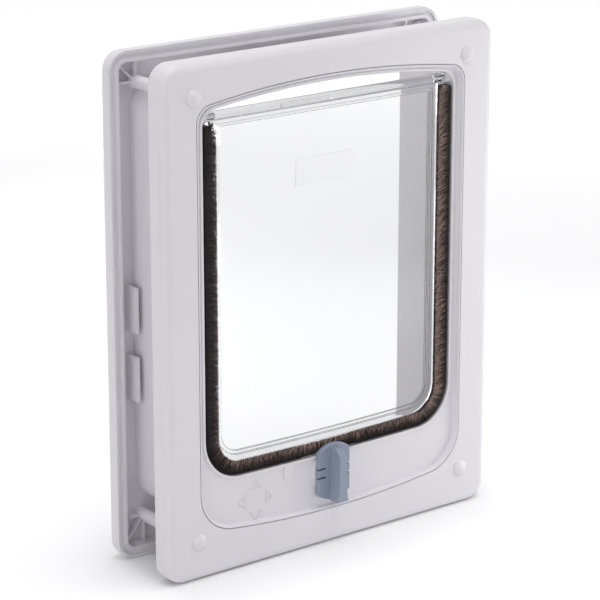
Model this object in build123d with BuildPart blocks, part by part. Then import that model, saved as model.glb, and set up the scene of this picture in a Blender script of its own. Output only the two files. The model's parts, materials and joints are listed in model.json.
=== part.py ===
"""Pet door of two clamped frames: clear swinging flap, pile seal, four-way turn lock and screw posts."""

import math
import os

from build123d import *

# Frames: outer size, rounding and depths, all in millimetres
frame_width = 285.0
frame_height = 360.0
frame_corner = 14.0
edge_rounding = 6.0
inner_rim_depth = 16.0
outer_rim_depth = 13.5
panel_gap = 45.0
plate_wall = 3.0
side_wall = 3.0

# Shield-shaped recess in the inner frame's face
recess_side_margin = 28.5
recess_bottom_margin = 27.5
recess_top_margin = 22.5
recess_bottom_bow = 9.0
recess_top_bow = 9.4
recess_bottom_corner = 28.0
recess_top_corner = 11.0
recess_depth = 4.5
recess_floor = 2.0
recess_floor_rounding = 1.0
recess_lip_rounding = 1.0
seam_land = 0.2
seam_width = 0.7
seam_depth = 1.6

# Opening through the recess floor, and the collar round it that holds the pile and the hinge pins
opening_side_margin = 5.5
opening_top_margin = 4.0
lock_field_height = 38.5
opening_bottom_bow = 1.5
opening_top_bow = 8.4
opening_bottom_corner = 30.0
opening_top_corner = 12.0
collar_wall = 2.0
collar_lip = 0.8
collar_depth = 20.0

# Outer frame: grooved rim, lining of the door panel's cut-out, posts, ribs and upright tabs
rim_outer_lip = 2.2
rim_groove = 3.0
rim_inner_lip = 2.6
rim_groove_depth = 1.2
lining_side_margin = 22.5
lining_bottom_margin = 36.0
lining_top_margin = 15.0
lining_bottom_bow = 1.5
lining_top_bow = 10.0
lining_bottom_corner = 20.0
lining_top_corner = 20.0
lining_wall = 2.4
lining_front = 30.0
post_radius = 4.6
rib_wall = 1.6
rib_height = 5.0
tab_wall = 1.9
tab_offset = 4.0
tab_depth = 13.0
tab_height = 32.5
tab_levels = (130.5, 180.0)
mouth_rounding = 1.0

# Frame screws, their bosses and the caps over them
screw_side_margin = 25.0
screw_bottom_margin = 28.0
screw_top_margin = 23.0
screw_radius = 2.0
screw_clearance = 0.25
pilot_clearance = 0.06
screw_head_radius = 4.0
screw_head_height = 2.5
screw_head_rounding = 1.0
screw_seat = 9.0
screw_grip = 24.0
screw_tip = 3.0
screw_tip_inset = 1.6
cup_radius = 4.5
cup_wall = 2.0
boss_radius = 4.6
boss_meet = 36.0
cap_radius = 6.25
cap_dome = 2.6
cap_plug = 3.5
cap_clearance = 0.3

# Flap and hinge
flap_side_gap = 9.9
flap_bottom_gap = 8.6
flap_bottom_corner = 22.0
flap_bead = 5.0
flap_bead_thickness = 4.0
flap_bead_rounding = 1.8
flap_band = 2.8
flap_band_thickness = 3.0
flap_panel_thickness = 2.0
flap_top_strip = 2.5
hinge_drop = 13.0
bar_radius = 3.5
bar_end_gap = 5.3
hinge_boss_radius = 4.5
hinge_side_gap = 0.3
pin_radius = 1.5
pin_fit = 0.05
pin_reach = 8.0
plate_width = 50.0
plate_height = 18.6
plate_proud = 0.4
plate_centre_x = -2.0
plate_drop = 48.8
ridge_length = 43.0
ridge_height = 3.4
ridge_proud = 0.5
ridge_centre_x = -20.0

# Pile seal round the flap
pile_set_back = 0.5
pile_width = 10.2
pile_top_gap = 5.5
pile_gap = 0.4
backing_wall = 1.5
backing_width = 7.0
strip_gap = 0.1

# Turn lock
lock_drop = 13.0
knob_reach = 21.0
knob_width = 28.0
knob_plate = 3.2
knob_gap = 0.3
knob_edge = 0.8
grip_width = 6.6
grip_flare = 9.6
grip_flare_length = 11.0
grip_proud = 10.5
grip_top = 18.5
grip_bottom = 20.5
grip_bevel = 5.0
slit_height = 1.3
slit_length = 6.9
slit_pitch = 6.5
lock_boss_radius = 16.0
lock_boss_proud = 1.0
lock_boss_clearance = 0.8
spindle_radius = 4.4
spindle_fit = 0.08
drive_square = 5.0
drive_clearance = 0.06
rotor_hub_radius = 8.0
lug_overlap = 5.4
lug_thickness = 1.5
lug_gap = 0.3
lug_margin_deg = 12.0
washer_radius = 4.0
washer_thickness = 0.5
lock_screw_head_radius = 3.4
lock_screw_head_height = 1.8
lock_screw_head_rounding = 0.6
lock_screw_radius = 1.2
lock_screw_length = 7.0
lock_cup_clearance = 0.3

# Small raised pad on the recess floor beside the lock
pad_width = 9.0
pad_height = 11.0
pad_proud = 1.0
pad_centre_x = -37.0
pad_top_gap = 0.5
pad_corner = 1.5

# How close a face's place has to be for a selection
tolerance = 0.01

# Places worked out from the sizes above; depths run from the front face into the door
recess_half_width = frame_width / 2 - recess_side_margin
recess_bottom = recess_bottom_margin
recess_top = frame_height - recess_top_margin
seam_offset = recess_lip_rounding + seam_land
opening_half_width = recess_half_width - opening_side_margin
opening_bottom = recess_bottom + lock_field_height
opening_top = recess_top - opening_top_margin
lining_half_width = frame_width / 2 - lining_side_margin
lining_top = frame_height - lining_top_margin
flap_half_width = opening_half_width - flap_side_gap
flap_bottom = opening_bottom + flap_bottom_gap
hinge_height = opening_top - hinge_drop
bar_half_length = opening_half_width - bar_end_gap
plate_centre_z = hinge_height - plate_drop
pile_top = hinge_height - pile_top_gap
lock_height = opening_bottom - lock_drop
lug_reach = flap_bottom + lug_overlap - lock_height
pad_centre_z = opening_bottom - pad_top_gap - pad_height / 2
outer_front = inner_rim_depth + panel_gap
total_depth = outer_front + outer_rim_depth
outer_floor = total_depth - plate_wall
rim_band = rim_outer_lip + rim_groove + rim_inner_lip
rib_stop = rim_band - rim_inner_lip / 2
floor_back = recess_depth + recess_floor
front_lug_depth = floor_back + lug_gap
flap_depth = front_lug_depth + lug_thickness + lug_gap + flap_bead_thickness / 2
rear_lug_depth = flap_depth + flap_bead_thickness / 2 + lug_gap
rotor_back = rear_lug_depth + lug_thickness
knob_back = recess_depth - lock_boss_proud - knob_gap
knob_front = knob_back - knob_plate
grip_front = knob_front - grip_proud
drive_end = rotor_back - washer_thickness - lock_screw_head_height - lock_cup_clearance
lock_cup_radius = washer_radius + lock_cup_clearance
pile_front = recess_depth - collar_lip + pile_set_back
front_y = -(total_depth + grip_front) / 2
hinge_y = front_y + flap_depth
boss_face_x = bar_half_length + hinge_side_gap
frame_centre_z = frame_height / 2
screw_x = frame_width / 2 - screw_side_margin
low_z = screw_bottom_margin
high_z = frame_height - screw_top_margin
corners = {
    "top_left": (-screw_x, high_z),
    "top_right": (screw_x, high_z),
    "bottom_left": (-screw_x, low_z),
    "bottom_right": (screw_x, low_z),
}


def at_depth(depth):
    """Upright plane facing the room, with sketch x to the right and sketch y up; minus goes into the door."""
    return Plane(origin=(0, front_y + depth, 0), x_dir=(1, 0, 0), z_dir=(0, -1, 0))


def shield(half_width, bottom, top, bottom_bow, top_bow, bottom_corner, top_corner):
    """Upright outline with straight sides, a sagging bottom, an arched top and rounded corners."""
    low = bottom + bottom_bow
    high = top - top_bow
    with BuildSketch() as outline:
        with BuildLine():
            ThreePointArc((-half_width, low), (0, bottom), (half_width, low))
            Line((half_width, low), (half_width, high))
            ThreePointArc((half_width, high), (0, top), (-half_width, high))
            Line((-half_width, high), (-half_width, low))
        make_face()
        fillet(outline.vertices().group_by(Axis.Y)[0], bottom_corner)
        fillet(outline.vertices().group_by(Axis.Y)[-1], top_corner)
    return outline.sketch


def apron(half_width, bottom, top, bottom_bow, bottom_corner):
    """Upright outline with a straight top, straight sides, a sagging bottom and rounded lower corners."""
    low = bottom + bottom_bow
    with BuildSketch() as outline:
        with BuildLine():
            ThreePointArc((-half_width, low), (0, bottom), (half_width, low))
            Polyline((half_width, low), (half_width, top), (-half_width, top), (-half_width, low))
        make_face()
        fillet(outline.vertices().group_by(Axis.Y)[0], bottom_corner)
    return outline.sketch


recess = shield(
    recess_half_width, recess_bottom, recess_top, recess_bottom_bow, recess_top_bow,
    recess_bottom_corner, recess_top_corner,
)
opening = shield(
    opening_half_width, opening_bottom, opening_top, opening_bottom_bow, opening_top_bow,
    opening_bottom_corner, opening_top_corner,
)
lining = shield(
    lining_half_width, lining_bottom_margin, lining_top, lining_bottom_bow, lining_top_bow,
    lining_bottom_corner, lining_top_corner,
)
flap_outline = apron(flap_half_width, flap_bottom, hinge_height, opening_bottom_bow, flap_bottom_corner)


def frame_plate(inset, mode=Mode.ADD):
    """Rounded rectangle of the frames, drawn in by inset; used inside a sketch."""
    with Locations((0, frame_centre_z)):
        RectangleRounded(frame_width - 2 * inset, frame_height - 2 * inset, frame_corner - inset, mode=mode)


def quarter_lug(start_deg):
    """Quarter disc about the lock's axis, with a margin at both ends."""
    first = math.radians(start_deg - lug_margin_deg)
    last = math.radians(start_deg + 90 + lug_margin_deg)
    middle = (first + last) / 2
    begin, halfway, end = (
        (lug_reach * math.cos(angle), lock_height + lug_reach * math.sin(angle)) for angle in (first, middle, last)
    )
    with BuildSketch() as lug:
        with BuildLine():
            ThreePointArc(begin, halfway, end)
            Polyline(end, (0, lock_height), begin)
        make_face()
    return lug.sketch


# Two flat round spaces that the lock's lugs sweep through
with BuildPart() as lug_sweep:
    for depth in (front_lug_depth, rear_lug_depth):
        with BuildSketch(at_depth(depth - lug_gap)):
            with Locations((0, lock_height)):
                Circle(lug_reach + 2 * lug_gap)
        extrude(amount=-(lug_thickness + 2 * lug_gap))

# Inner frame: tray, recess pan, collar, hinge bosses and screw bosses
with BuildPart() as inner_frame:
    with BuildSketch(at_depth(0)):
        frame_plate(0)
    extrude(amount=-inner_rim_depth)
    fillet(inner_frame.faces().sort_by(Axis.Y)[0].outer_wire().edges(), edge_rounding)
    with BuildSketch(at_depth(inner_rim_depth)):
        frame_plate(side_wall)
    extrude(amount=inner_rim_depth - plate_wall, mode=Mode.SUBTRACT)
    with BuildSketch(at_depth(plate_wall)):
        offset(recess, amount=recess_floor)
    extrude(amount=-(floor_back - plate_wall))
    with BuildSketch(at_depth(0)):
        add(recess)
    extrude(amount=-recess_depth, mode=Mode.SUBTRACT)
    floor_face = inner_frame.faces().filter_by(
        lambda face: abs(face.center().Y - front_y - recess_depth) < tolerance
    ).sort_by(SortBy.AREA)[-1]
    fillet(floor_face.outer_wire().edges(), recess_floor_rounding)
    front_face = inner_frame.faces().sort_by(Axis.Y)[0]
    fillet(front_face.inner_wires()[0].edges(), recess_lip_rounding)
    with BuildSketch(at_depth(0)):
        offset(recess, amount=seam_offset + seam_width)
        offset(recess, amount=seam_offset, mode=Mode.SUBTRACT)
    extrude(amount=-seam_depth, mode=Mode.SUBTRACT)
    with BuildSketch(at_depth(recess_depth - collar_lip)):
        offset(opening, amount=collar_wall)
    extrude(amount=-(collar_depth - recess_depth + collar_lip))
    add(lug_sweep.part, mode=Mode.SUBTRACT)
    with BuildSketch(at_depth(0)):
        add(opening)
    extrude(amount=-collar_depth, mode=Mode.SUBTRACT)
    for side in (-1, 1):
        with BuildSketch(Plane.YZ.offset(side * boss_face_x)):
            with Locations((hinge_y, hinge_height)):
                Circle(hinge_boss_radius)
        extrude(amount=side * (opening_half_width + collar_wall / 2 - boss_face_x))
        with BuildSketch(Plane.YZ.offset(side * boss_face_x)):
            with Locations((hinge_y, hinge_height)):
                Circle(pin_radius)
        extrude(amount=side * (opening_half_width + collar_wall - boss_face_x), mode=Mode.SUBTRACT)
    with BuildSketch(at_depth(recess_depth)):
        with Locations((0, lock_height)):
            Circle(lock_boss_radius)
            boss_half_height = opening_bottom - collar_wall - lock_boss_clearance - lock_height
            Rectangle(2 * lock_boss_radius, 2 * boss_half_height, mode=Mode.INTERSECT)
    extrude(amount=lock_boss_proud)
    with BuildSketch(at_depth(0)):
        with Locations((0, lock_height)):
            Circle(spindle_radius + spindle_fit)
    extrude(amount=-floor_back, mode=Mode.SUBTRACT)
    with BuildSketch(at_depth(recess_depth)):
        with Locations((pad_centre_x, pad_centre_z)):
            RectangleRounded(pad_width, pad_height, pad_corner)
    extrude(amount=pad_proud)
    with BuildSketch(at_depth(plate_wall)):
        with Locations(*corners.values()):
            Circle(cup_radius + cup_wall)
    extrude(amount=-(screw_seat + cup_wall - plate_wall))
    with BuildSketch(at_depth(screw_seat)):
        with Locations(*corners.values()):
            Circle(boss_radius)
    extrude(amount=-(boss_meet - screw_seat))
    with Locations(at_depth(0)):
        with Locations(*corners.values()):
            CounterBoreHole(screw_radius + screw_clearance, cup_radius, screw_seat)
inner_frame.part.label = "inner_frame"

# Outer frame: plate with a grooved rim, lining, posts with ribs and upright tabs
with BuildPart() as outer_frame:
    with BuildSketch(at_depth(outer_front)):
        frame_plate(0)
    extrude(amount=-outer_rim_depth)
    fillet(outer_frame.faces().sort_by(Axis.Y)[-1].outer_wire().edges(), edge_rounding)
    with BuildSketch(at_depth(outer_front)):
        frame_plate(rim_band)
    extrude(amount=-(outer_floor - outer_front), mode=Mode.SUBTRACT)
    with BuildSketch(at_depth(outer_front)):
        frame_plate(rim_outer_lip)
        frame_plate(rim_outer_lip + rim_groove, mode=Mode.SUBTRACT)
    extrude(amount=-rim_groove_depth, mode=Mode.SUBTRACT)
    with BuildSketch(at_depth(lining_front)):
        add(lining)
    extrude(amount=-(outer_floor - lining_front))
    with BuildSketch(at_depth(boss_meet)):
        with Locations(*corners.values()):
            Circle(post_radius)
    extrude(amount=-(outer_floor - boss_meet))
    with BuildSketch(at_depth(outer_floor - rib_height)):
        for x, z in corners.values():
            across = math.copysign(1, x)
            up = math.copysign(1, z - frame_centre_z)
            to_side = frame_width / 2 - rib_stop - abs(x)
            to_end = frame_centre_z - rib_stop - abs(z - frame_centre_z)
            angle = math.degrees(math.atan2(up * to_end, across * to_side))
            with Locations((x, z)):
                Rectangle(to_side, rib_wall, rotation=0 if across > 0 else 180, align=(Align.MIN, Align.CENTER))
                Rectangle(to_end, rib_wall, rotation=90 * up, align=(Align.MIN, Align.CENTER))
                Rectangle(
                    math.hypot(to_side, to_end) - frame_corner / 2, rib_wall,
                    rotation=angle, align=(Align.MIN, Align.CENTER),
                )
    extrude(amount=-rib_height)
    with BuildSketch(at_depth(outer_floor - tab_depth)):
        for side in (-1, 1):
            for level in tab_levels:
                with Locations((side * (lining_half_width + tab_offset + tab_wall / 2), level)):
                    Rectangle(tab_wall, tab_height)
    extrude(amount=-tab_depth)
    with BuildSketch(at_depth(lining_front)):
        offset(lining, amount=-lining_wall)
    extrude(amount=-(total_depth - lining_front), mode=Mode.SUBTRACT)
    back_face = outer_frame.faces().sort_by(Axis.Y)[-1]
    fillet(back_face.inner_wires()[0].edges(), mouth_rounding)
    with Locations(at_depth(boss_meet)):
        with Locations(*corners.values()):
            Hole(screw_radius + pilot_clearance, depth=screw_grip + screw_tip)
outer_frame.part.label = "outer_frame"

# Flap: clear panel with a beaded and stepped rim, a round hinge bar with a raised ridge, and a plain raised plate
with BuildPart() as flap:
    with BuildSketch(at_depth(flap_depth - flap_bead_thickness / 2)):
        add(flap_outline)
    extrude(amount=-flap_bead_thickness)
    for face in (flap.faces().sort_by(Axis.Y)[0], flap.faces().sort_by(Axis.Y)[-1]):
        below_bar = face.edges().filter_by(lambda edge: edge.center().Z < hinge_height - tolerance)
        fillet(below_bar, flap_bead_rounding)
    for inset, left_over in ((flap_bead, flap_band_thickness), (flap_bead + flap_band, flap_panel_thickness)):
        pocket = (flap_bead_thickness - left_over) / 2
        for depth in (flap_depth - flap_bead_thickness / 2, flap_depth + left_over / 2):
            with BuildSketch(at_depth(depth)):
                offset(flap_outline, amount=-inset)
                with Locations((0, hinge_height - bar_radius - flap_top_strip)):
                    Rectangle(4 * flap_half_width, frame_height, align=(Align.CENTER, Align.MIN), mode=Mode.SUBTRACT)
            extrude(amount=-pocket, mode=Mode.SUBTRACT)
    with BuildSketch(Plane.YZ):
        with Locations((hinge_y, hinge_height)):
            Circle(bar_radius)
    extrude(amount=bar_half_length, both=True)
    with BuildSketch(at_depth(flap_depth - bar_radius - ridge_proud)):
        with Locations((ridge_centre_x, hinge_height)):
            SlotOverall(ridge_length, ridge_height)
    extrude(amount=-(bar_radius + ridge_proud))
    with BuildSketch(at_depth(flap_depth - flap_panel_thickness / 2)):
        with Locations((plate_centre_x, plate_centre_z)):
            Rectangle(plate_width, plate_height)
    extrude(amount=plate_proud)
    for side in (-1, 1):
        with BuildSketch(Plane.YZ.offset(side * bar_half_length)):
            with Locations((hinge_y, hinge_height)):
                Circle(pin_radius + pin_fit)
        extrude(amount=-side * (pin_reach + hinge_side_gap), mode=Mode.SUBTRACT)
flap.part.label = "flap"

# Pile seal: a U of pile on its backing strip, open at the top
with BuildPart() as pile_brush:
    with BuildSketch(at_depth(pile_front)):
        offset(opening, amount=-(strip_gap + backing_wall))
        offset(flap_outline, amount=pile_gap, mode=Mode.SUBTRACT)
        with Locations((0, pile_top)):
            Rectangle(frame_width, frame_height, align=(Align.CENTER, Align.MIN), mode=Mode.SUBTRACT)
    extrude(amount=-pile_width)
    add(lug_sweep.part, mode=Mode.SUBTRACT)
pile_brush.part.label = "pile_brush"

with BuildPart() as pile_backing:
    with BuildSketch(at_depth(flap_depth - backing_width / 2)):
        offset(opening, amount=-strip_gap)
        offset(opening, amount=-(strip_gap + backing_wall), mode=Mode.SUBTRACT)
        with Locations((0, pile_top)):
            Rectangle(frame_width, frame_height, align=(Align.CENTER, Align.MIN), mode=Mode.SUBTRACT)
    extrude(amount=-backing_width)
    add(lug_sweep.part, mode=Mode.SUBTRACT)
pile_backing.part.label = "pile_backing"

# Knob: rounded plate with spring slits, a flared grip and a spindle with a square drive
with BuildPart() as lock_knob:
    with BuildSketch(at_depth(knob_back)):
        with Locations((0, lock_height)):
            Circle(knob_reach)
            Rectangle(knob_width, 2 * knob_reach, mode=Mode.INTERSECT)
        for side in (-1, 1):
            for step in (-0.5, 0.5):
                with Locations((side * knob_width / 2, lock_height + step * slit_pitch)):
                    SlotOverall(2 * slit_length, slit_height, mode=Mode.SUBTRACT)
    extrude(amount=knob_plate)
    fillet(lock_knob.faces().sort_by(Axis.Y)[0].outer_wire().edges(), knob_edge)
    with BuildSketch(at_depth(knob_front)):
        with BuildLine():
            Polyline(
                (-grip_width / 2, lock_height + grip_top),
                (grip_width / 2, lock_height + grip_top),
                (grip_width / 2, lock_height - grip_bottom + grip_flare_length),
                (grip_flare / 2, lock_height - grip_bottom),
                (-grip_flare / 2, lock_height - grip_bottom),
                (-grip_width / 2, lock_height - grip_bottom + grip_flare_length),
                close=True,
            )
        make_face()
    extrude(amount=grip_proud)
    grip_tip = lock_knob.faces().sort_by(Axis.Y)[0].edges().sort_by(Axis.Z)[-1]
    chamfer(grip_tip, grip_bevel)
    fillet(lock_knob.faces().sort_by(Axis.Y)[0].edges(), knob_edge)
    with BuildSketch(at_depth(knob_back)):
        with Locations((0, lock_height)):
            Circle(spindle_radius)
    extrude(amount=-(front_lug_depth - knob_back))
    with BuildSketch(at_depth(front_lug_depth)):
        with Locations((0, lock_height)):
            Rectangle(drive_square, drive_square)
    extrude(amount=-(drive_end - front_lug_depth))
    with BuildSketch(at_depth(drive_end)):
        with Locations((0, lock_height)):
            Circle(lock_screw_radius)
    extrude(amount=lock_screw_length, mode=Mode.SUBTRACT)
lock_knob.part.label = "lock_knob"

# Rotor: hub with one quarter lug before the flap's rim and one behind it
with BuildPart() as lock_rotor:
    with BuildSketch(at_depth(front_lug_depth)):
        with Locations((0, lock_height)):
            Circle(rotor_hub_radius)
    extrude(amount=-(rotor_back - front_lug_depth))
    with BuildSketch(at_depth(front_lug_depth)):
        add(quarter_lug(180))
    extrude(amount=-lug_thickness)
    with BuildSketch(at_depth(rear_lug_depth)):
        add(quarter_lug(270))
    extrude(amount=-lug_thickness)
    with BuildSketch(at_depth(front_lug_depth)):
        with Locations((0, lock_height)):
            Rectangle(drive_square + 2 * drive_clearance, drive_square + 2 * drive_clearance)
    extrude(amount=-(rotor_back - front_lug_depth), mode=Mode.SUBTRACT)
    with BuildSketch(at_depth(drive_end)):
        with Locations((0, lock_height)):
            Circle(lock_cup_radius)
    extrude(amount=-(rotor_back - drive_end), mode=Mode.SUBTRACT)
lock_rotor.part.label = "lock_rotor"

with BuildPart() as lock_washer:
    with BuildSketch(at_depth(drive_end)):
        with Locations((0, lock_height)):
            Circle(washer_radius)
            Circle(lock_screw_radius + pin_fit, mode=Mode.SUBTRACT)
    extrude(amount=-washer_thickness)
lock_washer.part.label = "lock_washer"

with BuildPart() as lock_screw:
    with BuildSketch(at_depth(drive_end + washer_thickness)):
        with Locations((0, lock_height)):
            Circle(lock_screw_head_radius)
    extrude(amount=-lock_screw_head_height)
    fillet(lock_screw.faces().sort_by(Axis.Y)[-1].edges(), lock_screw_head_rounding)
    with BuildSketch(at_depth(drive_end + washer_thickness)):
        with Locations((0, lock_height)):
            Circle(lock_screw_radius - pin_fit)
    extrude(amount=lock_screw_length)
lock_screw.part.label = "lock_screw"

os.makedirs("parts", exist_ok=True)
pieces = [
    inner_frame, outer_frame, flap, pile_brush, pile_backing,
    lock_knob, lock_rotor, lock_washer, lock_screw,
]

# Hinge pins, from the collar's outside through the boss into the bar
for name, side in {"left": -1, "right": 1}.items():
    with BuildPart() as hinge_pin:
        with BuildSketch(Plane.YZ.offset(side * (opening_half_width + collar_wall))):
            with Locations((hinge_y, hinge_height)):
                Circle(pin_radius)
        extrude(amount=-side * (opening_half_width + collar_wall - bar_half_length + pin_reach))
    hinge_pin.part.label = "hinge_pin_" + name
    pieces.append(hinge_pin)

# Frame screws and their domed caps, one of each at every corner
for name, (x, z) in corners.items():
    with BuildPart() as frame_screw:
        with BuildSketch(at_depth(screw_seat)):
            with Locations((x, z)):
                Circle(screw_head_radius)
        extrude(amount=screw_head_height)
        fillet(frame_screw.faces().sort_by(Axis.Y)[0].edges(), screw_head_rounding)
        with BuildSketch(at_depth(screw_seat)):
            with Locations((x, z)):
                Circle(screw_radius)
        extrude(amount=-(boss_meet + screw_grip - screw_seat))
        chamfer(frame_screw.faces().sort_by(Axis.Y)[-1].edges(), screw_tip, screw_tip_inset)
    frame_screw.part.label = "frame_screw_" + name
    pieces.append(frame_screw)

    with BuildPart() as screw_cap:
        with BuildSketch(Plane.XY.offset(z)):
            with BuildLine():
                Line((x, front_y + cap_plug), (x, front_y - cap_dome))
                TangentArc((x, front_y - cap_dome), (x + cap_radius, front_y), tangent=(1, 0))
                Polyline(
                    (x + cap_radius, front_y),
                    (x + cup_radius - cap_clearance, front_y),
                    (x + cup_radius - cap_clearance, front_y + cap_plug),
                    (x, front_y + cap_plug),
                )
            make_face()
        revolve(axis=Axis((x, 0, z), (0, 1, 0)))
    screw_cap.part.label = "screw_cap_" + name
    pieces.append(screw_cap)

for piece in pieces:
    export_step(piece.part, "parts/" + piece.part.label + ".step")
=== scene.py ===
"""Looks for the pet door: moulded plastics, clear flap, pile fibres, floor, light and camera."""

import json
import math
import random

import bmesh
import bpy
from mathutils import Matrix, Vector


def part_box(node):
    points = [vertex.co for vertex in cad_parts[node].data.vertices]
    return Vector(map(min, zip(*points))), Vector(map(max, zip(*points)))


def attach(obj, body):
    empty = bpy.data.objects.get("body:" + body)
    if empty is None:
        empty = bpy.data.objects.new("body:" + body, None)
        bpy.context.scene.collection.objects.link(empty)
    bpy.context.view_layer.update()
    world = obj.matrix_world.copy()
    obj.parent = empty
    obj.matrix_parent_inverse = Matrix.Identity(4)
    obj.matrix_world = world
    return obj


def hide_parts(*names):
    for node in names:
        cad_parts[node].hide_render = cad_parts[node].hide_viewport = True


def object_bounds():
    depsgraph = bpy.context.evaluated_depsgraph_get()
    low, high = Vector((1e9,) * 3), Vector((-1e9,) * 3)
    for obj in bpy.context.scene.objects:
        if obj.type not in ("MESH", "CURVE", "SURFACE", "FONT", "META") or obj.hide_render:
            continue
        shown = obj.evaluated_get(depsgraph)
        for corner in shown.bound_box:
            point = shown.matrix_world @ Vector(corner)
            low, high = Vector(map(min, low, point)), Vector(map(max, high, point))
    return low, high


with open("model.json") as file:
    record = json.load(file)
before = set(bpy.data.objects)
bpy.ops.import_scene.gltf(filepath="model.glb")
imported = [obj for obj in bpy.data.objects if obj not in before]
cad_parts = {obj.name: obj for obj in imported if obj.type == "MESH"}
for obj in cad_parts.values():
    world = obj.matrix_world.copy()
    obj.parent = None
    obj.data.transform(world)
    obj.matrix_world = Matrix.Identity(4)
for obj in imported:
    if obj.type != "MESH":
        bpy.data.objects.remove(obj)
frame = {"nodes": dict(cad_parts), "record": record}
nodes = frame["nodes"]
cad_low, cad_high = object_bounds()
scene = bpy.context.scene
MM = 0.001
front_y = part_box("inner_frame")[0].y / MM


# Node helpers

noise_low, noise_high = 0.3, 0.7


def feed(tree, socket, value):
    """Link a socket to another one, or set it to a constant."""
    if isinstance(value, bpy.types.NodeSocket):
        tree.links.new(value, socket)
    else:
        socket.default_value = value


def maths(tree, operation, *values):
    """Math node with linked or constant inputs."""
    made = tree.nodes.new("ShaderNodeMath")
    made.operation = operation
    for socket, value in zip(made.inputs, values):
        feed(tree, socket, value)
    return made.outputs["Value"]


def map_range(tree, value, from_low, from_high, to_low, to_high):
    """Value moved from one range to another and kept inside it."""
    made = tree.nodes.new("ShaderNodeMapRange")
    names = ("Value", "From Min", "From Max", "To Min", "To Max")
    for name, given in zip(names, (value, from_low, from_high, to_low, to_high)):
        feed(tree, made.inputs[name], given)
    return made.outputs["Result"]


def noise(tree, place, scale, detail=2.0, stretch=None):
    """Noise in metres; stretch squeezes it along the axes."""
    made = tree.nodes.new("ShaderNodeTexNoise")
    made.inputs["Scale"].default_value = scale
    made.inputs["Detail"].default_value = detail
    if stretch:
        mapping = tree.nodes.new("ShaderNodeMapping")
        mapping.inputs["Scale"].default_value = stretch
        tree.links.new(place, mapping.inputs["Vector"])
        place = mapping.outputs["Vector"]
    tree.links.new(place, made.inputs["Vector"])
    return made.outputs["Fac"]


def ramp(tree, value, stops):
    """Colour ramp from (position, colour) stops."""
    made = tree.nodes.new("ShaderNodeValToRGB")
    while len(made.color_ramp.elements) < len(stops):
        made.color_ramp.elements.new(0.5)
    for element, (position, colour) in zip(made.color_ramp.elements, stops):
        element.position = position
        element.color = (*colour, 1)
    tree.links.new(value, made.inputs["Fac"])
    return made.outputs["Color"]


def two_tone(tree, value, low, high):
    """Noise as a mix of two colours."""
    return ramp(tree, value, [(noise_low, low), (noise_high, high)])


def spread(tree, value, low, high):
    """Noise stretched to the range low to high."""
    return map_range(tree, value, noise_low, noise_high, low, high)


def bump(tree, height, strength, distance, below=None):
    """Bump from a height, on top of another normal if one is given."""
    made = tree.nodes.new("ShaderNodeBump")
    made.inputs["Strength"].default_value = strength
    made.inputs["Distance"].default_value = distance
    tree.links.new(height, made.inputs["Height"])
    if below is not None:
        tree.links.new(below, made.inputs["Normal"])
    return made.outputs["Normal"]


def soft_edges(tree, radius):
    """Normals rounded over sharp edges, as a mould leaves them."""
    made = tree.nodes.new("ShaderNodeBevel")
    made.samples = 4
    made.inputs["Radius"].default_value = radius
    return made.outputs["Normal"]


# Materials

def material(name, colour, roughness, specular=0.5):
    """A principled material with its node tree, its shader's inputs and object coordinates."""
    made = bpy.data.materials.new(name)
    made.use_nodes = True
    tree = made.node_tree
    inputs = tree.nodes["Principled BSDF"].inputs
    inputs["Base Color"].default_value = (*colour, 1)
    inputs["Roughness"].default_value = roughness
    inputs["Specular IOR Level"].default_value = specular
    place = tree.nodes.new("ShaderNodeTexCoord")
    return made, tree, inputs, place.outputs["Object"]


def moulded(name, low, high, roughness, edge, uneven=0.05):
    """Satin moulded plastic with a fine grain, faint flow shading and soft edges."""
    made, tree, inputs, place = material(name, low, roughness)
    flow = noise(tree, place, scale=9.0, detail=3.0)
    gloss = noise(tree, place, scale=70.0)
    ripple = noise(tree, place, scale=260.0, detail=1.0)
    texture = noise(tree, place, scale=2600.0)
    feed(tree, inputs["Base Color"], two_tone(tree, flow, low, high))
    feed(tree, inputs["Roughness"], spread(tree, gloss, roughness - uneven, roughness + uneven))
    peel = bump(tree, ripple, strength=0.05, distance=0.0004, below=soft_edges(tree, edge))
    feed(tree, inputs["Normal"], bump(tree, texture, strength=0.10, distance=0.00008, below=peel))
    return made


def clear_moulding():
    """Clear plastic that is a little wavy, and darker where light runs far inside it."""
    made, tree, inputs, place = material("clear_plastic", (0.978, 0.98, 0.984), 0.03)
    inputs["Transmission Weight"].default_value = 1.0
    inputs["IOR"].default_value = 1.49
    feed(tree, inputs["Roughness"], spread(tree, noise(tree, place, scale=40.0), 0.01, 0.05))
    waves = noise(tree, place, scale=30.0, detail=1.0)
    edges = soft_edges(tree, radius=0.0007)
    feed(tree, inputs["Normal"], bump(tree, waves, strength=0.02, distance=0.001, below=edges))
    tint = tree.nodes.new("ShaderNodeVolumeAbsorption")
    tint.inputs["Color"].default_value = (0.594, 0.60, 0.612, 1)
    tint.inputs["Density"].default_value = 115.0
    tree.links.new(tint.outputs["Volume"], tree.nodes["Material Output"].inputs["Volume"])
    return made


def zinc_steel():
    """Zinc-plated steel with turning marks."""
    made, tree, inputs, place = material("zinc_steel", (0.62, 0.62, 0.64), 0.32)
    inputs["Metallic"].default_value = 1.0
    turned = noise(tree, place, scale=900.0, detail=3.0, stretch=(1.0, 0.1, 1.0))
    feed(tree, inputs["Base Color"], two_tone(tree, turned, (0.52, 0.52, 0.54), (0.68, 0.68, 0.69)))
    feed(tree, inputs["Roughness"], spread(tree, turned, 0.24, 0.42))
    edges = soft_edges(tree, radius=0.0002)
    feed(tree, inputs["Normal"], bump(tree, turned, strength=0.15, distance=0.0001, below=edges))
    return made


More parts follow.
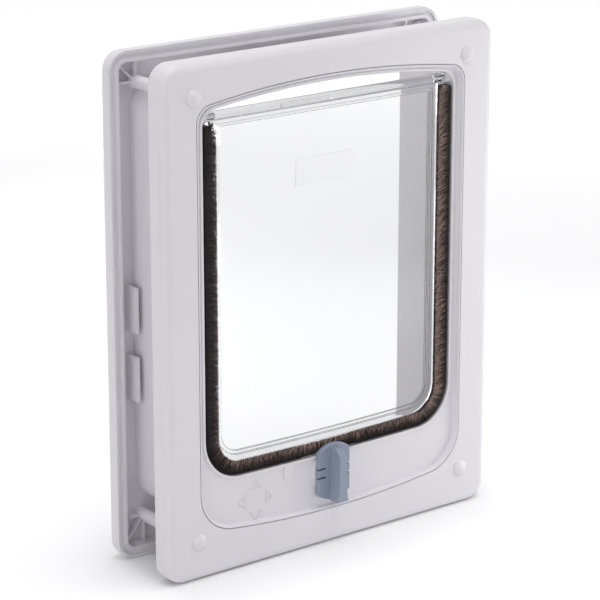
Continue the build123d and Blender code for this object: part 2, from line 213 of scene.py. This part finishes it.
def woven_strip():
    """Dark woven strip behind the pile."""
    made, tree, inputs, place = material("woven_strip", (0.05, 0.042, 0.04), 0.8)
    weave = noise(tree, place, scale=1500.0, stretch=(1.0, 0.3, 1.0))
    feed(tree, inputs["Base Color"], two_tone(tree, weave, (0.025, 0.02, 0.02), (0.075, 0.062, 0.058)))
    feed(tree, inputs["Normal"], bump(tree, weave, strength=0.4, distance=0.0002))
    return made


def brown_pile():
    """Fibres from near black to brown, by the tone stored on each corner of the mesh: random per fibre,
    with painted shade at the roots and in the core, and painted light on the right side.
    """
    made, tree, inputs, place = material("pile_fibre", (0.05, 0.036, 0.03), 0.7, specular=0.25)
    inputs["Sheen Weight"].default_value = 0.12
    inputs["Sheen Roughness"].default_value = 0.4
    shaded_tone = tree.nodes.new("ShaderNodeAttribute")
    shaded_tone.attribute_name = tone_layer
    speckle = spread(tree, noise(tree, place, scale=1400.0), 0.75, 1.25)
    strands = maths(tree, "MULTIPLY", shaded_tone.outputs["Fac"], speckle)
    browns = [(0.0, (0.005, 0.004, 0.004)), (0.45, (0.135, 0.103, 0.094)), (1.0, (0.58, 0.420, 0.370))]
    feed(tree, inputs["Base Color"], ramp(tree, strands, browns))
    return made


tone_layer = "shaded_tone"
white_plastic = moulded("white_plastic", low=(0.805, 0.790, 0.822), high=(0.828, 0.813, 0.843),
                        roughness=0.42, edge=0.0005)
slate_plastic = moulded("slate_plastic", low=(0.285, 0.328, 0.420), high=(0.31, 0.355, 0.450),
                        roughness=0.40, edge=0.0004)
pile_fibre = brown_pile()
finish_of = {
    "white_plastic": white_plastic, "clear_plastic": clear_moulding(), "slate_plastic": slate_plastic,
    "steel": zinc_steel(), "backing_strip": woven_strip(), "pile": pile_fibre,
}
for row in frame["record"]["subparts"]:
    slots = nodes[row["node"]].data.materials
    slots.clear()
    slots.append(finish_of[row["material_slot"]])


# Mesh helpers, in mm; depth is measured from the front of the inner frame

def corner(mesh, x, depth, z):
    """New corner of a mesh."""
    return mesh.verts.new((x * MM, (front_y + depth) * MM, z * MM))


def skin(mesh, rings):
    """Faces between each ring of corners and the next."""
    for a, b in zip(rings, rings[1:]):
        for k in range(len(a)):
            j = (k + 1) % len(a)
            mesh.faces.new((a[k], a[j], b[j], b[k]))


def closed_skin(mesh, rings):
    """Faces between rings, with both ends closed."""
    skin(mesh, rings)
    mesh.faces.new(rings[0][::-1])
    mesh.faces.new(rings[-1])


def as_object(mesh, name, finish):
    """Object made of a mesh, with its faces turned outward and one material."""
    bmesh.ops.recalc_face_normals(mesh, faces=mesh.faces)
    data = bpy.data.meshes.new(name)
    mesh.to_mesh(data)
    mesh.free()
    data.materials.append(finish)
    made = bpy.data.objects.new(name, data)
    scene.collection.objects.link(made)
    return made


# Pile seal: fibres that stand in from the backing strip to the flap's rim

strip_half_width, strip_bottom, strip_bow, strip_corner, strip_top = 106.85, 67.65, 1.5, 28.35, 315.0
side_length, bottom_length, corner_extra = 7.85, 6.5, 1.6
pile_front, pile_rear = 4.2, 14.4

lock_z, lug_sweep, lug_half_width = 53.0, 27.6, 25.5
lug_bands = ((6.5, 8.6), (12.6, 14.7))
lug_room = 0.1

core_pitch = 6
# the core's near-black tone is painted shade among the dense fibres
core_short, core_behind, core_before, core_lug_gap, core_shade = 1.3, 1.0, 0.7, 0.3, 0.1

pitch = 0.38
front_rows = ((4.5, 4.8), (4.5, 5.0), (4.6, 5.2), (4.8, 5.4), (5.0, 5.6), (5.3, 6.4))
rear_rows = ((6.4, 8.6), (8.8, 11.6), (12.4, 13.8), (13.6, 14.2))
rear_every, rear_stout = 3, 1.3
fibre_rows = [(row, 1, 1.0) for row in front_rows] + [(row, rear_every, rear_stout) for row in rear_rows]
fibre_sides, fibre_turn = 3, 0.5
thin, thick = 0.18, 0.36
shortest, shortest_overlap = 0.9, 0.86
stray_depth, stray_lean = 0.35, 0.24
# share of the length, share of the thickness and tone, from root to tip; the tone is painted shade, dark
# at the root and lighter towards the tip
stations = ((0.0, 1.0, 0.05), (0.5, 0.9, 0.5), (1.0, 0.4, 1.3))
fibre_tones = (0.14, 0.24, 0.34, 0.5, 0.8, 1.15)
# painted light: fibres on the right side made lighter, those on the left darker
tone_middle, side_light_across = 1.1, 0.58
# front fibres lie over the flap's edge, up to just below the hinge
overlap, overlap_depth, overlap_top, overlap_fade = 2.8, 5.7, 313.5, 2.5
tuft, tuft_spread, tuft_front, droop = 9, 0.14, 0.5, 0.3
fray_start, fray_depth, fray, fray_margin = 307.0, 6.0, 0.6, 3.0
seed = 7


def u_path(half_width, bottom, bow, corner_radius, top, step):
    """Points and outward normals: down the left side, along the sagging bottom and up the right side."""
    big = (half_width ** 2 + bow ** 2) / (2 * bow)
    big_z = bottom + big
    corner_x = half_width - corner_radius
    corner_z = big_z - math.sqrt((big - corner_radius) ** 2 - corner_x ** 2)
    tilt = math.atan2(big_z - corner_z, corner_x)
    left = []
    count = max(2, round((top - corner_z) / step))
    for i in range(count):
        left.append((-half_width, top + (corner_z - top) * i / count, -1.0, 0.0))
    sweep = math.pi / 2 - tilt
    arcs = ((-corner_x, corner_z, corner_radius, math.pi, tilt), (0.0, big_z, big, math.pi + tilt, sweep))
    for middle_x, middle_z, radius, start, turn in arcs:
        count = max(2, round(radius * turn / step))
        for i in range(count):
            angle = start + turn * i / count
            nx, nz = math.cos(angle), math.sin(angle)
            left.append((middle_x + radius * nx, middle_z + radius * nz, nx, nz))
    lowest = [(0.0, bottom, 0.0, -1.0)]
    return left + lowest + [(-x, z, -nx, nz) for x, z, nx, nz in reversed(left)]


def pile_length(nx, nz):
    """Fibre length: the room between the strip and the flap's rim."""
    return side_length * nx * nx + bottom_length * nz * nz + corner_extra * nx * nx * nz * nz


def in_lug_path(x, z, depth, room):
    """True where the lock's lugs sweep through the pile, with some room about them."""
    near = math.hypot(x, z - lock_z) < lug_sweep + room
    return near and any(low - room < depth < high + room for low, high in lug_bands)


def add_core(mesh, path, low, high):
    """Closed core along a stretch of the path, a little inside the fibres; it stands for the dense inner
    fibres, and its near-black tone is painted shade.
    """
    rings = []
    for x, z, nx, nz in path:
        reach = pile_length(nx, nz) - core_short
        ends = ((0.0, low), (reach, low), (reach, high), (0.0, high))
        rings.append([corner(mesh, x - nx * r, depth, z - nz * r) for r, depth in ends])
        for end in rings[-1]:
            end[mesh.verts.layers.float[tone_layer]] = core_shade
    closed_skin(mesh, rings)


def add_cores(mesh, path):
    """Core on each side of the lock, and a thinner one between the lugs' paths."""
    first = next(i for i, point in enumerate(path) if point[0] > -lug_half_width)
    last = len(path) - 1 - first
    low, high = pile_front + core_behind, pile_rear - core_before
    add_core(mesh, path[:first:core_pitch] + [path[first]], low, high)
    add_core(mesh, [path[last]] + path[last + 1::core_pitch] + [path[-1]], low, high)
    low, high = lug_bands[0][1] + core_lug_gap, lug_bands[1][0] - core_lug_gap
    add_core(mesh, path[first:last + 1:core_pitch] + [path[last]], low, high)


def add_fibre(mesh, rng, x, z, nx, nz, depth, lean, stout):
    """One tapered fibre with a bend, from the strip inward; none where a lug would meet it."""
    length = pile_length(nx, nz) * rng.uniform(shortest, 1.0)
    if depth < overlap_depth:
        below_hinge = min(max((overlap_top - z) / overlap_fade, 0.0), 1.0)
        length += rng.uniform(shortest_overlap, 1.0) * overlap * below_hinge
    # random tone per fibre, times painted light that is lighter on the right side and darker on the left
    tone_with_side_light = rng.choice(fibre_tones) * (tone_middle + side_light_across * nx)
    stray = rng.gauss(0.0, stray_depth)
    tx, tz = -nz, nx
    width = rng.uniform(thin, thick) * stout
    spots = []
    # painted shade: each fibre darker at its root, lighter towards its tip
    for share, wide, shaded_tone in stations:
        r = length * share
        side = lean * r * share
        deep = min(max(depth + stray * share * share, pile_front), pile_rear)
        spots.append((x - nx * r + tx * side, z - nz * r + tz * side, deep, width * wide, tone_with_side_light * shaded_tone))
    if any(in_lug_path(cx, cz, deep, width + lug_room) for cx, cz, deep, _, _ in spots):
        return
    rings = []
    for cx, cz, deep, radius, shaded_tone in spots:
        ring = []
        for k in range(fibre_sides):
            angle = 2 * math.pi * k / fibre_sides + fibre_turn
            a, b = radius * math.cos(angle), radius * math.sin(angle)
            ring.append(corner(mesh, cx + tx * a, deep + b, cz + tz * a))
            ring[-1][mesh.verts.layers.float[tone_layer]] = shaded_tone
        rings.append(ring)
    closed_skin(mesh, rings)


def add_fibres(mesh, path, rng):
    """Rows of fibres along the path, combed in tufts, with frayed upper ends."""
    tuft_lean = [rng.gauss(0.0, tuft_spread) for _ in range(len(path) // tuft + 2)]
    for i, (x, z, nx, nz) in enumerate(path):
        part = i % tuft / tuft
        combed = tuft_lean[i // tuft] * (1 - part) + tuft_lean[i // tuft + 1] * part
        for (low, high), every, stout in fibre_rows:
            if i % every:
                continue
            depth = rng.uniform(low, high)
            along = rng.uniform(-pitch / 2, pitch / 2) * every
            share = tuft_front if depth < overlap_depth else 1.0
            lean = combed * share - droop * nx + rng.gauss(0.0, stray_lean)
            if z > fray_start and depth < fray_depth:
                lean += nx * fray * (z - fray_start) / (strip_top - fray_start)
            elif z > fray_start - fray_margin:
                lean = min(lean * nx, 0.0) * nx
            add_fibre(mesh, rng, x - nz * along, z + nx * along, nx, nz, depth, lean, stout)


root_path = u_path(strip_half_width, strip_bottom, strip_bow, strip_corner, strip_top, pitch)
pile_mesh = bmesh.new()
pile_mesh.verts.layers.float.new(tone_layer)
add_cores(pile_mesh, root_path)
add_fibres(pile_mesh, root_path, random.Random(seed))
pile = as_object(pile_mesh, "pile_fibres", pile_fibre)
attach(pile, "frames")
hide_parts("pile_brush")


# Four plain raised arrowheads for the lock's turns, on the recess floor beside the knob

arrows_x, arrows_z = -66.0, 46.0
arrow_tip, arrow_base, arrow_half_width = 15.5, 8.5, 5.5
recess_floor, arrow_proud, arrow_sunk = 4.5, 0.5, 0.05
# size of each ring about the middle of the arrowhead, from its outer foot to its inner foot
outer_foot, outer_top, inner_top, inner_foot = 1.0, 0.93, 0.64, 0.57


def add_arrowhead(mesh, turn):
    """Raised outline of an arrowhead, pointing outward at an angle about the middle of the group."""
    outline = ((arrow_tip, 0.0), (arrow_base, arrow_half_width), (arrow_base, -arrow_half_width))
    middle = sum(along for along, across in outline) / len(outline)
    cos, sin = math.cos(turn), math.sin(turn)
    foot, top = recess_floor + arrow_sunk, recess_floor - arrow_proud
    rings = []
    for draw, depth in ((outer_foot, foot), (outer_top, top), (inner_top, top), (inner_foot, foot)):
        ring = []
        for along, across in outline:
            along, across = middle + (along - middle) * draw, across * draw
            x, z = arrows_x + along * cos - across * sin, arrows_z + along * sin + across * cos
            ring.append(corner(mesh, x, depth, z))
        rings.append(ring)
    skin(mesh, rings + rings[:1])


arrow_mesh = bmesh.new()
for quarter in range(4):
    add_arrowhead(arrow_mesh, quarter * math.pi / 2)
arrows = as_object(arrow_mesh, "turn_arrows", white_plastic)
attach(arrows, "frames")


# Stage, in metres: pale floor, soft light and camera

floor_half, floor_drop = 4.0, 0.0002
floor_near, floor_far = 0.75, 1.45
glow_near, glow_far = 0.24, 0.58
# reach and sharpness of the painted contact shadow on the floor
painted_shadow_reach, painted_shadow_power = 0.06, 2.0


def camera_share(tree):
    """1 for rays that reach the camera straight, in a reflection or through the clear flap."""
    path = tree.nodes.new("ShaderNodeLightPath")
    seen = path.outputs["Is Camera Ray"]
    for name in ("Is Glossy Ray", "Is Transmission Ray"):
        seen = maths(tree, "MAXIMUM", seen, path.outputs[name])
    return seen


def paper():
    """White paper that glows a little for the camera, less near the part; ambient occlusion cuts the glow
    under and beside the part as a painted contact shadow.
    """
    made, tree, inputs, place = material("floor_paper", (0.90, 0.90, 0.91), 0.9, specular=0.1)
    inputs["Emission Color"].default_value = (1, 1, 1, 1)
    reach = tree.nodes.new("ShaderNodeVectorMath")
    reach.operation = "LENGTH"
    tree.links.new(place, reach.inputs[0])
    glow = map_range(tree, reach.outputs["Value"], floor_near, floor_far, glow_near, glow_far)
    # painted contact shadow: ambient occlusion cuts the glow near the part
    painted_contact_shadow = tree.nodes.new("ShaderNodeAmbientOcclusion")
    painted_contact_shadow.inputs["Distance"].default_value = painted_shadow_reach
    shade = maths(tree, "POWER", painted_contact_shadow.outputs["AO"], painted_shadow_power)
    shown = maths(tree, "MULTIPLY", camera_share(tree), glow)
    feed(tree, inputs["Emission Strength"], maths(tree, "MULTIPLY", shown, shade))
    return made


floor_data = bpy.data.meshes.new("floor")
floor_corners = [(x * floor_half, y * floor_half, 0) for x, y in ((-1, -1), (1, -1), (1, 1), (-1, 1))]
floor_data.from_pydata(floor_corners, [], [(0, 1, 2, 3)])
floor_data.materials.append(paper())
floor = bpy.data.objects.new("floor", floor_data)
floor.location.z = cad_low.z - floor_drop
scene.collection.objects.link(floor)


# World: even soft light; reflections and the flap see it darker to the sides

side_heading, front_heading = 0.25, 0.6
side_level, front_level, light_level = 0.08, 1.0, 0.33

world = bpy.data.worlds.new("studio")
scene.world = world
world.use_nodes = True
tree = world.node_tree
back = tree.nodes["Background"]
back.inputs["Color"].default_value = (0.985, 0.98, 1.0, 1)
heading = tree.nodes.new("ShaderNodeSeparateXYZ")
tree.links.new(tree.nodes.new("ShaderNodeTexCoord").outputs["Generated"], heading.inputs["Vector"])
across = maths(tree, "ABSOLUTE", heading.outputs["Y"])
backdrop = map_range(tree, across, side_heading, front_heading, side_level, front_level)
level = map_range(tree, camera_share(tree), 0.0, 1.0, light_level, backdrop)
direct = tree.nodes.new("ShaderNodeLightPath").outputs["Is Camera Ray"]
feed(tree, back.inputs["Strength"], maths(tree, "MAXIMUM", direct, level))


def lamp(name, position, target, size, power):
    """Large soft area lamp."""
    light = bpy.data.lights.new(name, "AREA")
    light.shape = "SQUARE"
    light.size = size
    light.energy = power
    made = bpy.data.objects.new(name, light)
    made.location = position
    made.rotation_euler = (Vector(target) - Vector(position)).to_track_quat("-Z", "Y").to_euler()
    scene.collection.objects.link(made)


lamp("key", position=(0.62, -0.30, 0.12), target=(0.0, 0.0, 0.08), size=0.4, power=1.85)
lamp("left", position=(-1.45, -0.55, 0.5), target=(0.0, 0.0, 0.18), size=0.9, power=4.6)
lamp("top", position=(0.08, -0.30, 2.2), target=(0.05, -0.2, 0.0), size=1.6, power=25.0)
lamp("rear", position=(-0.1, 0.9, 0.25), target=(0.1, 0.02, 0.15), size=0.35, power=2.8)


# Camera, fitted to the photo's corners

focal_px, image_px, sensor = 2569, 600, 36
turn, rise, distance = math.radians(37.763), math.radians(16.910), 1.7996
aim_height, aim_left, aim_down = 0.18, 0.00469, 0.00832

view_setup = bpy.data.cameras.new("camera")
view_setup.lens = focal_px / image_px * sensor
view_setup.sensor_width = sensor
view_setup.clip_start = 0.05
view_setup.clip_end = 60
camera = bpy.data.objects.new("camera", view_setup)
forward = Vector((math.sin(turn) * math.cos(rise), math.cos(turn) * math.cos(rise), -math.sin(rise)))
right = Vector((math.cos(turn), -math.sin(turn), 0))
up = right.cross(forward)
camera.location = Vector((0, 0, aim_height)) - forward * distance - right * aim_left - up * aim_down
camera.rotation_euler = forward.to_track_quat("-Z", "Y").to_euler()
scene.collection.objects.link(camera)
scene.camera = camera
scene.view_settings.view_transform = "Standard"
